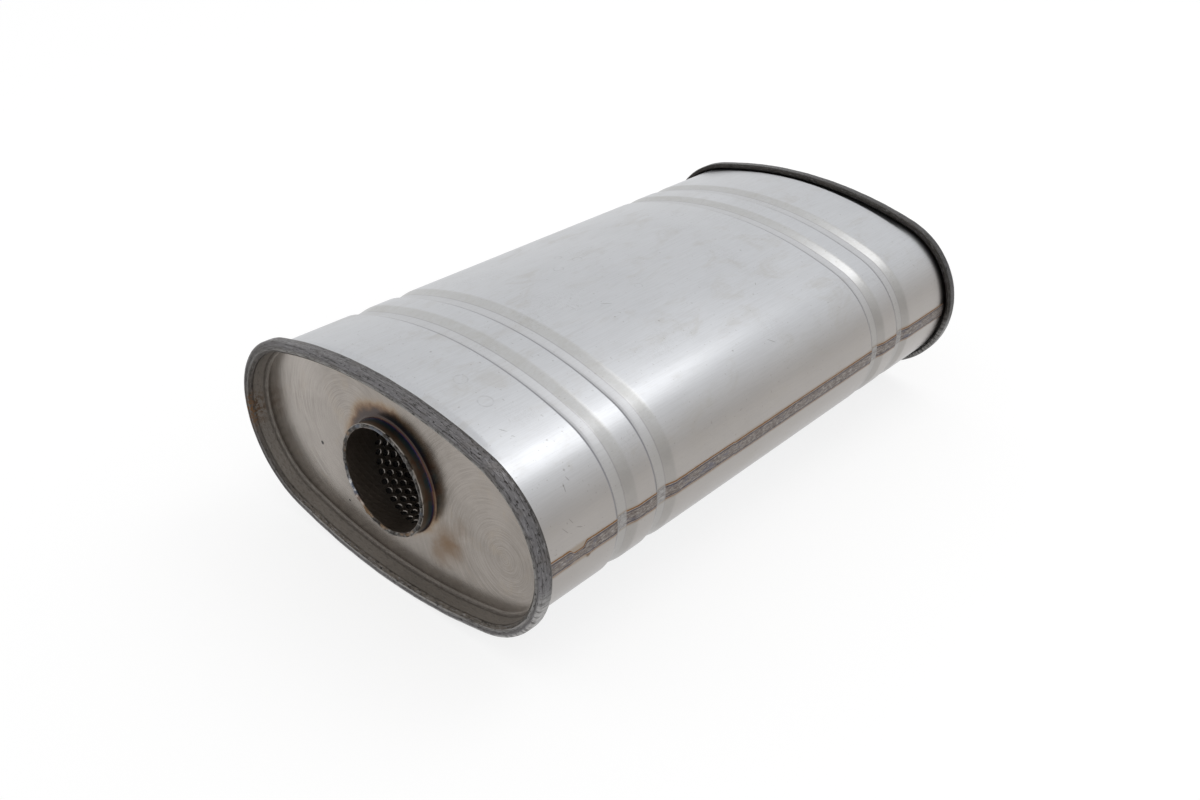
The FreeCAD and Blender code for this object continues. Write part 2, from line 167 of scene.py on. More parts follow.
def rounded(points, steps):
    """A polyline of (a, b, radius) corners with each corner turned into an arc."""
    out = []
    for k, (a, b, radius) in enumerate(points):
        if radius <= 0 or k in (0, len(points) - 1):
            out.append((a, b))
            continue
        here = np.array([a, b])
        before = np.array(points[k - 1][:2]) - here
        after = np.array(points[k + 1][:2]) - here
        u = before / np.linalg.norm(before)
        v = after / np.linalg.norm(after)
        half = math.acos(max(-1, min(1, float(u @ v)))) / 2
        back = radius / math.tan(half)
        centre = here + (u + v) / np.linalg.norm(u + v) * (radius / math.sin(half))
        first = here + u * back - centre
        last = here + v * back - centre
        whole = math.atan2(first[0] * last[1] - first[1] * last[0], float(first @ last))
        for j in range(steps + 1):
            turn = whole * j / steps
            c, s = math.cos(turn), math.sin(turn)
            out.append((
                centre[0] + c * first[0] - s * first[1],
                centre[1] + s * first[0] + c * first[1],
            ))
    return out


def refine(points, longest):
    """The polyline with each run divided so that no step is longer than longest."""
    out = [points[0]]
    for a, b in zip(points[:-1], points[1:]):
        length = math.dist(a, b)
        parts = max(1, math.ceil(length / longest))
        for j in range(1, parts + 1):
            out.append((a[0] + (b[0] - a[0]) * j / parts, a[1] + (b[1] - a[1]) * j / parts))
    return out


# Materials

class Nodes:
    """Short calls for the nodes of one tree."""

    def __init__(self, tree):
        self.tree = tree

    def new(self, kind, *values):
        """A new node with its first inputs filled with values."""
        node = self.tree.nodes.new(kind)
        for socket, value in zip(node.inputs, values):
            self.put(socket, value)
        return node

    def put(self, socket, value):
        if isinstance(value, bpy.types.NodeSocket):
            self.tree.links.new(value, socket)
        elif isinstance(value, (tuple, list)) and len(value) == 3 and socket.type == "RGBA":
            socket.default_value = (*value, 1.0)
        else:
            socket.default_value = value

    def vector(self, operation, a, b=None, scale=None):
        node = self.new("ShaderNodeVectorMath", a)
        node.operation = operation
        if b is not None:
            self.put(node.inputs[1], b)
        if scale is not None:
            self.put(node.inputs["Scale"], scale)
        gives_number = operation in ("LENGTH", "DISTANCE", "DOT_PRODUCT")
        return node.outputs["Value" if gives_number else "Vector"]

    def math(self, operation, a, b=0.0, clamp=False):
        node = self.new("ShaderNodeMath", a, b)
        node.operation = operation
        node.use_clamp = clamp
        return node.outputs[0]

    def times(self, a, b):
        return self.math("MULTIPLY", a, b)

    def plus(self, a, b):
        return self.math("ADD", a, b)

    def minus(self, a, b):
        return self.math("SUBTRACT", a, b)

    def combine(self, x, y, z):
        return self.new("ShaderNodeCombineXYZ", x, y, z).outputs[0]

    def split(self, vector):
        return self.new("ShaderNodeSeparateXYZ", vector).outputs

    def noise(self, vector, scale, detail=2.0, roughness=0.5, distortion=0.0):
        node = self.new("ShaderNodeTexNoise", vector)
        self.put(node.inputs["Scale"], scale)
        self.put(node.inputs["Detail"], detail)
        self.put(node.inputs["Roughness"], roughness)
        self.put(node.inputs["Distortion"], distortion)
        return node.outputs[0]

    def step(self, value, low, high, start=0.0, end=1.0):
        """A smooth step from start at low to end at high."""
        node = self.new("ShaderNodeMapRange", value, low, high, start, end)
        node.interpolation_type = "SMOOTHSTEP"
        return node.outputs[0]

    def ramp(self, value, stops):
        node = self.new("ShaderNodeValToRGB", value)
        elements = node.color_ramp.elements
        while len(elements) < len(stops):
            elements.new(0.5)
        for element, (position, colour) in zip(elements, stops):
            element.position = position
            element.color = (*colour, 1.0)
        return node.outputs[0]

    def mix(self, factor, a, b, blend="MIX"):
        """One colour mixed into another."""
        node = self.new("ShaderNodeMix", factor)
        node.data_type = "RGBA"
        node.blend_type = blend
        self.put(node.inputs[6], a)
        self.put(node.inputs[7], b)
        return node.outputs[2]

    def blend(self, factor, a, b):
        """One number mixed into another."""
        node = self.new("ShaderNodeMix", factor)
        node.data_type = "FLOAT"
        self.put(node.inputs[2], a)
        self.put(node.inputs[3], b)
        return node.outputs[0]


class Paint(Nodes):
    """A material whose texture space is the part's frame in mm."""

    def __init__(self, name):
        self.material = bpy.data.materials.new(name)
        self.material.use_nodes = True
        super().__init__(self.material.node_tree)
        self.shader = self.tree.nodes["Principled BSDF"]
        coordinates = self.new("ShaderNodeTexCoord")
        self.place = self.vector("SCALE", coordinates.outputs["Object"], scale=1000.0)
        self.uv = self.vector("SCALE", coordinates.outputs["UV"], scale=1000.0)
        self.x, self.y, self.z = self.split(self.place)

    def into_groove(self):
        """How far a place lies behind the front edge of its groove, or of the one before it."""
        into = self.minus(self.y, GROOVE_STARTS[0])
        for start in GROOVE_STARTS[1:]:
            later = self.math("GREATER_THAN", self.y, start - BEFORE_GROOVE)
            into = self.blend(later, into, self.minus(self.y, start))
        return into

    def band(self, value, middle, half):
        """1 where value is near middle, fading to 0 at half away from it."""
        away = self.math("ABSOLUTE", self.minus(value, middle))
        return self.step(away, half * 0.4, half, 1.0, 0.0)

    def dash(self, centre, along, length, width):
        """1 on a short scratch through centre, along a direction of unit length."""
        off = self.vector("SUBTRACT", self.place, centre)
        run = self.vector("DOT_PRODUCT", off, along)
        whole = self.vector("LENGTH", off)
        run = self.math("ABSOLUTE", run)
        across = self.minus(self.math("POWER", whole, 2.0), self.math("POWER", run, 2.0))
        across = self.math("DIVIDE", across, width**2)
        run = self.math("POWER", self.math("DIVIDE", run, length), 4.0)
        return self.step(self.plus(run, across), 0.5, 1.0, 1.0, 0.0)

    def ring(self, centre, radius, half):
        """1 on a thin ring of the given radius about centre, for a dried drop's mark."""
        away = self.vector("DISTANCE", self.place, centre)
        return self.band(away, radius, half)

    def spot(self, centre, radius, soft):
        """1 inside a round spot about centre, fading out over soft. Distances are in mm."""
        away = self.vector("DISTANCE", self.place, centre)
        return self.step(away, radius, radius + soft, 1.0, 0.0)

    def finish(self, colour, roughness, bump=None, height=0.05, metallic=1.0):
        self.put(self.shader.inputs["Base Color"], colour)
        self.put(self.shader.inputs["Metallic"], metallic)
        self.put(self.shader.inputs["Roughness"], roughness)
        if bump is not None:
            node = self.new("ShaderNodeBump")
            node.inputs["Strength"].default_value = 1.0
            node.inputs["Distance"].default_value = height * MM
            self.put(node.inputs["Height"], bump)
            self.put(self.shader.inputs["Normal"], node.outputs[0])
        return self.material


# Marks on the shell where the photograph shows them: rings and spots by centre and radius,
# scratches by centre, direction and half length.
SHELL_RINGS = (
    ((49.6, -165.0, 56.6), 3.9), ((29.8, -163.0, 59.9), 3.6), ((-26.0, -20.0, 61.2), 3.0),
    ((-38.0, -24.0, 60.5), 2.8), ((-24.0, -38.0, 61.3), 3.1), ((24.0, -22.0, 60.6), 2.3),
    ((36.0, -6.0, 59.2), 2.0), ((-28.0, 78.0, 61.1), 4.2),
)
SHELL_SPOTS = (
    ((0.8, -157.0, 61.7), 0.9), ((18.0, -66.0, 61.2), 0.7), ((38.0, -58.0, 58.7), 0.8),
    ((34.6, 62.0, 59.3), 0.9), ((54.4, -40.0, 55.6), 0.8), ((91.0, -20.0, 43.0), 0.9),
    ((68.0, 30.0, 52.0), 0.8), ((98.0, -161.0, 37.8), 0.9), ((102.5, -166.0, 33.5), 0.8),
    ((84.0, -158.0, 46.7), 0.8), ((109.0, -150.0, 24.5), 0.7), ((5.0, 20.0, 61.7), 0.7),
)
SHELL_SCRATCHES = (
    ((103.0, -166.0, 32.6), (0.64, -0.2, -0.74), 2.6), ((101.0, -162.0, 35.0), (0.6, 0.3, -0.74), 1.8),
    ((107.5, -150.0, 27.0), (0.5, 0.1, -0.86), 2.2), ((70.0, -171.0, 51.2), (0.75, 0.57, -0.34), 4.0),
    ((76.0, -169.0, 49.0), (0.77, 0.5, -0.4), 3.4), ((83.0, -172.0, 46.5), (0.8, 0.35, -0.48), 2.8),
    ((111.0, -170.0, 20.0), (0.3, 0.5, -0.81), 3.0), ((112.0, -175.0, 17.5), (0.25, 0.6, -0.76), 3.4),
    ((112.6, -166.0, 15.0), (0.2, 0.9, -0.38), 3.6), ((26.0, -52.0, 60.4), (0.55, 0.83, -0.07), 5.0),
    ((62.0, 40.0, 53.8), (0.62, -0.7, -0.35), 2.6), ((96.0, 10.0, 39.6), (0.5, 0.75, -0.43), 4.0),
)


def shell_steel():
    """Brushed sheet with its grain along the body, smudges, ring marks and burnished grooves, with
    painted shade round the sides and painted shade and reflection in the grooves.
    """
    p = Paint("shell_steel")
    along = p.combine(p.x, p.times(p.y, 0.03), p.z)
    grain = p.noise(along, 1.6, 4.0, 0.65)
    fine = p.noise(along, 5.0, 3.0, 0.6)
    cloud = p.noise(p.place, 0.016, 4.0, 0.6)
    smear = p.noise(p.combine(p.x, p.times(p.y, 0.5), p.z), 0.06, 5.0, 0.7, 0.8)
    blotch = p.noise(p.place, 0.2, 4.0, 0.7)

    into = p.into_groove()
    floor = p.times(p.step(into, 0.4, 1.6), p.step(into, 8.0, 8.8, 1.0, 0.0))
    flank = p.times(p.step(into, 8.4, 8.9), p.step(into, 15.0, 17.2, 1.0, 0.0))
    # Painted shade: a dark line along each groove's near edge and a fainter one in the bend from floor
    # to far flank.
    near_edge_shade = p.band(into, 0.5, 1.0)
    far_bend_shade = p.band(into, 8.6, 0.5)

    # Painted shade: darker and warmer round the sides than on the lit top; the groove tints follow it.
    side = p.step(p.math("ABSOLUTE", p.z), 18.0, 46.0, 1.0, 0.0)
    colour = p.mix(cloud, (0.475, 0.485, 0.505), (0.55, 0.56, 0.58))
    colour = p.mix(side, colour, p.mix(cloud, (0.345, 0.322, 0.305), (0.4, 0.378, 0.36)))
    tan = p.times(p.step(smear, 0.5, 0.72), 0.3)
    colour = p.mix(tan, colour, (0.37, 0.345, 0.305))
    # Painted reflection: a tan-grey tint on each groove's far flank, which leans towards the front.
    worn = p.times(flank, p.blend(p.step(blotch, 0.35, 0.65), 0.4, 0.6))
    colour = p.mix(worn, colour, p.mix(side, (0.42, 0.415, 0.395), (0.3, 0.29, 0.275)))
    colour = p.mix(p.times(floor, 0.4), colour, p.mix(side, (0.52, 0.52, 0.525), (0.4, 0.4, 0.39)))
    # Painted shade lines at the grooves' near edges and far bends.
    colour = p.mix(p.times(near_edge_shade, 0.75), colour, (0.17, 0.17, 0.19))
    colour = p.mix(p.times(far_bend_shade, 0.4), colour, (0.22, 0.21, 0.22))
    streak = p.times(p.step(grain, 0.42, 0.62), 0.12)
    colour = p.mix(streak, colour, (0.28, 0.275, 0.27))
    speck = p.step(p.noise(p.place, 0.6, 1.0, 0.5), 0.72, 0.78)
    colour = p.mix(p.times(speck, 0.35), colour, (0.19, 0.17, 0.15))
    scuff = p.noise(p.combine(p.times(p.x, 0.35), p.times(p.y, 1.3), p.z), 0.35, 3.0, 0.75, 1.2)
    scuffed = p.step(p.noise(p.place, 0.025, 2.0, 0.5), 0.52, 0.68)
    scuffed = p.times(p.band(scuff, 0.5, 0.012), scuffed)
    colour = p.mix(p.times(scuffed, 0.4), colour, (0.26, 0.25, 0.24))

    for centre, radius in SHELL_RINGS:
        mark = p.times(p.ring(centre, radius, 0.5), p.step(blotch, 0.4, 0.6, 0.05, 0.3))
        colour = p.mix(mark, colour, (0.27, 0.27, 0.27))
    for centre, radius in SHELL_SPOTS:
        mark = p.times(p.spot(centre, radius * 0.2, radius * 0.8), 0.5)
        colour = p.mix(mark, colour, (0.18, 0.165, 0.15))
    for centre, direction, length in SHELL_SCRATCHES:
        mark = p.times(p.dash(centre, direction, length, 0.28), 0.5)
        colour = p.mix(mark, colour, (0.15, 0.14, 0.13))

    # Straw-coloured heat tint beside the seam, and a brown spot where the weld narrows.
    beside = p.math("ABSOLUTE", p.minus(p.z, SEAM_Z))
    beside = p.plus(beside, p.times(p.minus(blotch, 0.5), 1.6))
    near_seam = p.step(beside, SEAM_HALF - 0.4, SEAM_HALF + 1.5, 0.6, 0.0)
    near_seam = p.times(near_seam, p.step(p.x, 0.0, 50.0))
    colour = p.mix(near_seam, colour, (0.25, 0.19, 0.13))
    colour = p.mix(p.times(p.spot((114.6, -161.5, -2.6), 0.7, 1.6), 0.85), colour, (0.13, 0.085, 0.045))

    rough = p.blend(smear, 0.27, 0.36)
    rough = p.blend(p.times(floor, 0.8), rough, 0.46)
    bump = p.plus(p.times(grain, 0.6), p.times(fine, 0.4))
    p.shader.inputs["Anisotropic"].default_value = 0.35
    tangent = p.new("ShaderNodeTangent")
    tangent.direction_type = "RADIAL"
    tangent.axis = "Y"
    p.put(p.shader.inputs["Tangent"], tangent.outputs[0])
    return p.finish(colour, rough, bump, 0.006)


def seam_metal():
    """Flattened weld: brown-grey with paler ripples, dark blue then straw along each edge."""
    p = Paint("seam_metal")
    along = p.combine(p.x, p.times(p.y, 0.3), p.z)
    streak = p.noise(along, 1.0, 4.0, 0.7, 0.6)
    patch = p.noise(along, 0.3, 3.0, 0.6)
    across = p.math("ABSOLUTE", p.split(p.uv)[0])
    across = p.plus(across, p.times(p.minus(patch, 0.5), 0.16))
    colour = p.ramp(streak, [
        (0.3, (0.1, 0.08, 0.072)), (0.5, (0.2, 0.175, 0.16)), (0.7, (0.36, 0.335, 0.315)),
    ])
    colour = p.mix(p.step(patch, 0.55, 0.7, 0.0, 0.5), colour, (0.11, 0.12, 0.17))
    inner = p.band(across, 0.7, 0.13)
    colour = p.mix(p.times(inner, 0.8), colour, (0.07, 0.06, 0.07))
    bright = p.band(across, 0.83, 0.07)
    colour = p.mix(p.times(bright, 0.5), colour, (0.36, 0.32, 0.29))
    colour = p.mix(p.step(across, 0.85, 0.93), colour, (0.22, 0.115, 0.05))
    into = p.into_groove()
    worn = p.times(p.step(into, 0.2, 1.0), p.step(into, 8.0, 8.8, 1.0, 0.0))
    bare = p.mix(p.step(streak, 0.35, 0.65), (0.24, 0.225, 0.22), (0.37, 0.36, 0.35))
    colour = p.mix(worn, colour, bare)
    return p.finish(colour, p.blend(streak, 0.55, 0.38), streak, 0.25)


def cap_metal(name, marked):
    """Satin dish with looping polish marks, a dull scratched rim and heat tint round the neck, with
    painted light and shade on the rim, the face and the corner between.
    """
    p = Paint(name)
    around, outward, _ = p.split(p.uv)
    flat_place = p.combine(p.x, p.z, 0.0)
    radius = p.vector("LENGTH", flat_place)
    depth = p.minus(RIM, p.math("ABSOLUTE", p.y))

    # The face: polish marks run in loops about two centres.
    loops = []
    for cx, cz in ((-30.3, 14.1), (82.8, -9.9)):
        away = p.vector("DISTANCE", flat_place, (cx, cz, 0.0))
        drift = p.combine(away, p.times(p.x, 0.03), p.times(p.z, 0.03))
        loops.append(p.noise(drift, 1.7, 5.0, 0.75))
    side = p.step(p.plus(p.x, p.times(p.noise(p.place, 0.05), 30.0)), 5.0, 45.0)
    marks = p.blend(side, loops[0], loops[1])
    cloud = p.noise(p.place, 0.03, 4.0, 0.65)
    stain = p.noise(p.place, 0.055, 5.0, 0.7, 0.7)
    face = p.mix(p.step(cloud, 0.35, 0.65), (0.28, 0.254, 0.23), (0.335, 0.305, 0.277))
    # Painted light: the face is lighter towards the left.
    face = p.mix(p.step(p.x, -75.0, -35.0, 0.5, 0.0), face, (0.42, 0.39, 0.36))
    clear = p.step(p.noise(p.place, 0.045, 3.0, 0.6), 0.4, 0.62, 0.2, 0.5)
    face = p.mix(p.times(p.step(marks, 0.4, 0.6, 1.0, 0.0), clear), face, (0.19, 0.168, 0.148))
    face = p.mix(p.step(stain, 0.52, 0.72, 0.0, 0.3), face, (0.33, 0.275, 0.21))
    face_rough = p.blend(cloud, 0.22, 0.28)

    if marked:
        for centre, reach, amount in (
            ((40.5, -FACE, -23.0), 31.0, 0.95),
            ((52.0, -FACE, -8.0), 22.0, 0.4),
            ((34.0, -FACE, -34.0), 24.0, 0.6),
        ):
            smoke = p.plus(p.vector("DISTANCE", p.place, centre), p.times(stain, 24.0))
            face = p.mix(p.step(smoke, 10.0, reach, amount, 0.0), face, (0.16, 0.1, 0.055))
        for centre, size in (((-62.4, -FACE, -8.5), 0.9), ((-42.2, -FACE, -37.6), 0.45)):
            face = p.mix(p.spot(centre, size, 0.5), face, (0.02, 0.018, 0.017))

    # Heat tint: a brown halo, widest above the neck, and a thin blue line at the neck's foot.
    wobble = p.times(p.minus(p.noise(p.place, 0.09, 4.0, 0.65), 0.5), 9.0)
    lean = p.plus(p.times(p.z, 0.1), p.times(p.x, -0.02))
    heat = p.minus(p.plus(radius, wobble), lean)
    tint = p.step(heat, 31.0, 41.0)
    tint_colour = p.ramp(tint, [
        (0.0, (0.035, 0.022, 0.02)), (0.14, (0.07, 0.038, 0.022)), (0.34, (0.15, 0.08, 0.035)),
        (0.6, (0.25, 0.17, 0.1)), (1.0, (0.31, 0.265, 0.22)),
    ])
    face = p.mix(p.step(heat, 32.5, 43.5, 0.9, 0.0), face, tint_colour)

    # The dish wall and the rim: dull, pitted, scratched along the rim, wrinkled across its outer edge,
    # with painted highlights, shade and reflection on the rim.
    run = p.combine(p.times(around, 0.06), outward, 0.0)
    scratch = p.noise(run, 1.1, 5.0, 0.7, 0.2)
    fine = p.noise(p.combine(p.times(around, 0.25), outward, 3.0), 1.3, 3.0, 0.7)
    pits = p.noise(p.combine(p.times(around, 0.45), outward, 0.0), 0.75, 4.0, 0.75)
    patch = p.noise(p.place, 0.09, 3.0, 0.6)
    # Tones along the rim's outline: dull metal, with a painted highlight on the ridge and the outer
    # round and painted shade in the hollows and at the ends.
    tones = (
        (14.6, (0.11, 0.095, 0.08)), (17.0, (0.09, 0.078, 0.066)), (17.5, (0.27, 0.26, 0.25)),
        (18.3, (0.19, 0.185, 0.18)), (19.4, (0.1, 0.095, 0.095)), (20.6, (0.16, 0.155, 0.16)),
        (26.5, (0.13, 0.125, 0.128)), (28.5, (0.07, 0.065, 0.06)),
    )
    stops = [(travel / BEAD_TRAVEL, tone) for travel, tone in tones]
    rim_tone_and_painted_light = p.ramp(p.math("DIVIDE", outward, BEAD_TRAVEL), stops)
    rim = p.mix(p.step(scratch, 0.4, 0.49, 0.75, 0.0), rim_tone_and_painted_light, (0.04, 0.037, 0.035))
    rim = p.mix(p.step(fine, 0.53, 0.65, 0.0, 0.45), rim, (0.27, 0.265, 0.27))
    rim = p.mix(p.step(pits, 0.56, 0.6, 0.0, 0.85), rim, (0.02, 0.018, 0.016))
    # Painted shade: the rim darker towards the left.
    rim = p.mix(p.step(p.x, -100.0, -60.0, 0.6, 0.0), rim, (0.05, 0.045, 0.042))
    rim = p.mix(p.step(patch, 0.5, 0.65, 0.0, 0.35), rim, (0.1, 0.09, 0.082))
    # Wrinkles across the rim's lower outer edge, painted bright there as a painted reflection of the
    # floor.
    hatch = p.noise(p.combine(p.times(around, 1.0), p.times(outward, 0.08), 0.0), 0.9, 3.0, 0.7)
    below = p.times(p.step(p.z, -18.0, 2.0, 1.0, 0.0), p.step(outward, 19.8, 21.3))
    wrinkles_and_floor_reflection = p.mix(p.step(hatch, 0.4, 0.55), (0.13, 0.125, 0.12), (0.45, 0.44, 0.43))
    rim = p.mix(p.times(below, 0.75), rim, wrinkles_and_floor_reflection)
    wall = p.mix(p.step(pits, 0.48, 0.62, 0.0, 0.5), (0.3, 0.28, 0.26), (0.12, 0.11, 0.1))
    wall = p.mix(p.step(fine, 0.5, 0.68, 0.0, 0.35), wall, (0.42, 0.4, 0.375))
    in_wall = p.step(outward, 13.7, 14.8, 1.0, 0.0)
    edge = p.mix(in_wall, rim, wall)
    if marked:
        rust = p.step(p.noise(p.place, 0.5, 4.0, 0.7), 0.42, 0.6)
        rust = p.times(p.spot((-115.0, -RIM, -4.0), 3.0, 14.0), rust)
        edge = p.mix(p.times(rust, 0.85), edge, (0.11, 0.055, 0.02))
    else:
        # Painted shade: the rear cap's rim is darkened.
        edge = p.mix(p.minus(1.0, in_wall), edge, (0.6, 0.6, 0.6), "MULTIPLY")

    on_face = p.step(depth, 10.4, 11.4)
    near_neck = p.step(radius, 36.0, 37.0, 1.0, 0.0)
    on_face = p.math("MAXIMUM", on_face, near_neck)
    colour = p.mix(on_face, edge, face)
    # Painted shade: a darker, rougher band in the concave corner between the dish wall and the face.
    corner = p.band(outward, 6.2, 2.2)
    colour = p.mix(p.times(corner, p.step(fine, 0.35, 0.65, 0.85, 0.55)), colour, (0.13, 0.115, 0.1))
    rough = p.blend(on_face, p.blend(in_wall, 0.37, 0.34), face_rough)
    rough = p.blend(corner, rough, 0.62)

    # The neck's wall by height above the face.
    height = p.minus(p.math("ABSOLUTE", p.y), FACE)
    neck_mask = p.times(near_neck, p.step(height, 0.2, 0.8))
    neck = p.ramp(p.math("DIVIDE", height, NECK_HEIGHT), [
        (0.0, (0.03, 0.018, 0.014)), (0.1, (0.06, 0.028, 0.02)), (0.17, (0.04, 0.035, 0.11)),
        (0.27, (0.04, 0.085, 0.12)), (0.48, (0.055, 0.08, 0.085)), (0.62, (0.12, 0.09, 0.07)),
        (0.85, (0.18, 0.15, 0.12)), (1.0, (0.26, 0.24, 0.22)),
    ])
    patch = p.step(p.noise(p.place, 0.12, 3.0, 0.6), 0.48, 0.68, 0.0, 0.6)
    neck = p.mix(patch, neck, (0.11, 0.06, 0.035))
    colour = p.mix(neck_mask, colour, neck)
    rough = p.blend(neck_mask, rough, 0.36)

    rim_bump = p.minus(p.times(scratch, 0.8), p.times(p.step(pits, 0.52, 0.64), 0.5))
    rim_bump = p.plus(rim_bump, p.times(p.times(hatch, below), 0.8))
    bump = p.blend(on_face, rim_bump, p.times(marks, 0.05))
    return p.finish(colour, rough, bump, 0.22)


def fused_edge():
    """The weld at a mouth: uneven grey metal with dark pits and a few straw and blue spots."""
    p = Paint("fused_edge")
    lump = p.noise(p.place, 0.35, 4.0, 0.65)
    tint = p.noise(p.place, 0.11, 2.0, 0.5)
    colour = p.ramp(lump, [
        (0.4, (0.025, 0.022, 0.02)), (0.55, (0.085, 0.08, 0.075)), (0.72, (0.3, 0.29, 0.28)),
    ])
    shiny = p.mix(p.step(lump, 0.45, 0.62), (0.1, 0.11, 0.14), (0.6, 0.6, 0.6))
    colour = p.mix(p.spot((-24.5, -MOUTH, -19.0), 4.0, 8.0), colour, shiny)
    colour = p.mix(p.step(tint, 0.56, 0.68, 0.0, 0.5), colour, (0.24, 0.15, 0.08))
    colour = p.mix(p.step(tint, 0.3, 0.4, 0.35, 0.0), colour, (0.13, 0.16, 0.22))
    return p.finish(colour, p.blend(lump, 0.5, 0.3), lump, 0.35)


def core_metal():
    """Heat-browned tube with soot in patches. The perforations' cut walls and rounded edges are painted
    lighter: cleaner metal and painted light.
    """
    p = Paint("core_metal")
    cloud = p.noise(p.place, 0.07, 4.0, 0.6)
    grit = p.noise(p.place, 0.9, 3.0, 0.7)
    colour = p.mix(cloud, (0.16, 0.13, 0.105), (0.28, 0.235, 0.2))
    colour = p.mix(p.step(grit, 0.5, 0.7, 0.0, 0.25), colour, (0.1, 0.085, 0.07))
    inside = p.minus(MOUTH, p.math("ABSOLUTE", p.y))
    colour = p.mix(p.step(inside, 7.0, 16.0, 0.0, 0.6), colour, (0.3, 0.265, 0.235))
    radius = p.vector("LENGTH", p.combine(p.x, p.z, 0.0))
    # Cleaner metal and painted light on the holes' cut walls and rounded edges.
    cut_edge_and_light = p.step(radius, CORE_IN + 0.01, CORE_IN + 0.06)
    colour = p.mix(p.times(cut_edge_and_light, 0.8), colour, (0.3, 0.28, 0.26))
    return p.finish(colour, p.blend(grit, 0.46, 0.36), grit, 0.03)


def plain_sheet():
    """Mill-finished sheet of the baffles, never seen from outside."""
    p = Paint("plain_sheet")
    cloud = p.noise(p.place, 0.05, 4.0, 0.6)
    scratch = p.noise(p.combine(p.times(p.x, 0.08), p.y, p.z), 1.4, 4.0, 0.7)
    colour = p.mix(cloud, (0.45, 0.44, 0.43), (0.56, 0.55, 0.54))
    return p.finish(colour, p.blend(scratch, 0.42, 0.3), scratch, 0.02)


def fibre():
    """Matted mineral fibre, near black next to the core tube: soot, and painted shade behind the holes.
    """
    p = Paint("fibre")
    strand = p.noise(p.combine(p.x, p.times(p.y, 0.15), p.z), 1.5, 6.0, 0.75, 1.5)
    cloud = p.noise(p.place, 0.04, 3.0, 0.6)
    colour = p.mix(strand, (0.1, 0.085, 0.06), (0.4, 0.36, 0.27))
    colour = p.mix(p.times(cloud, 0.5), colour, (0.3, 0.24, 0.16))
    radius = p.vector("LENGTH", p.combine(p.x, p.z, 0.0))
    # Near black next to the core: soot, and painted shade seen through the holes.
    soot_and_shade = p.step(radius, CORE_OUT + 1.0, CORE_OUT + 9.0, 1.0, 0.0)
    colour = p.mix(soot_and_shade, colour, p.mix(strand, (0.003, 0.003, 0.003), (0.014, 0.012, 0.01)))
    return p.finish(colour, 0.95, strand, 0.6, metallic=0.0)


SHELL_STEEL = shell_steel()
SEAM_METAL = seam_metal()
FRONT_METAL = cap_metal("front_cap_metal", True)
REAR_METAL = cap_metal("rear_cap_metal", False)
FUSED_EDGE = fused_edge()
CORE_METAL = core_metal()
PLAIN_SHEET = plain_sheet()
FIBRE = fibre()

for node_name, material in (
    ("front_baffle", PLAIN_SHEET),
    ("rear_baffle", PLAIN_SHEET),
    ("front_packing", FIBRE),
    ("middle_packing", FIBRE),
    ("rear_packing", FIBRE),
):
    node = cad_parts[node_name]
    node.data.materials.clear()
    node.data.materials.append(material)


# Shell

def groove_depth(y):
    """Depth of the rolled grooves at station y: steep towards the front, gentle towards the rear."""
    depth = np.zeros_like(y)
    taps = np.linspace(-0.35, 0.35, 5)
    for tap in taps:
        for start in GROOVE_STARTS:
            into = y + tap - start
            near = 1 - np.clip(1 - into / NEAR_FLANK, 0, 1) ** 1.7
            far = np.clip((GROOVE_WIDTH - into) / FAR_FLANK, 0, 1)
            far = np.where(far < 0.3, far * far / 0.6, far - 0.15) / 0.85
            depth += GROOVE_DEPTH * np.minimum(near, far) * (into > 0) / len(taps)
    return depth


def shell_stations():
    """Stations along the shell, close together where the profile bends."""
    close = []
    for start in GROOVE_STARTS:
        close += list(start + np.arange(-0.6, 2.0, 0.2))
        close += list(start + np.arange(2.2, NEAR_FLANK, 0.45))
        close += list(start + NEAR_FLANK + GROOVE_FLOOR + np.arange(-1.0, 1.1, 0.25))
        close += list(start + np.arange(10.1, 18.0, 0.6))
    plain = np.arange(-SHOULDER_START, SHOULDER_START + 0.1, 6.0)
    both = np.sort(np.concatenate([close, plain, [SHOULDER_START]]))
    keep = np.concatenate([[True], np.diff(both) > 0.12])
    return both[keep]


AROUND = 360


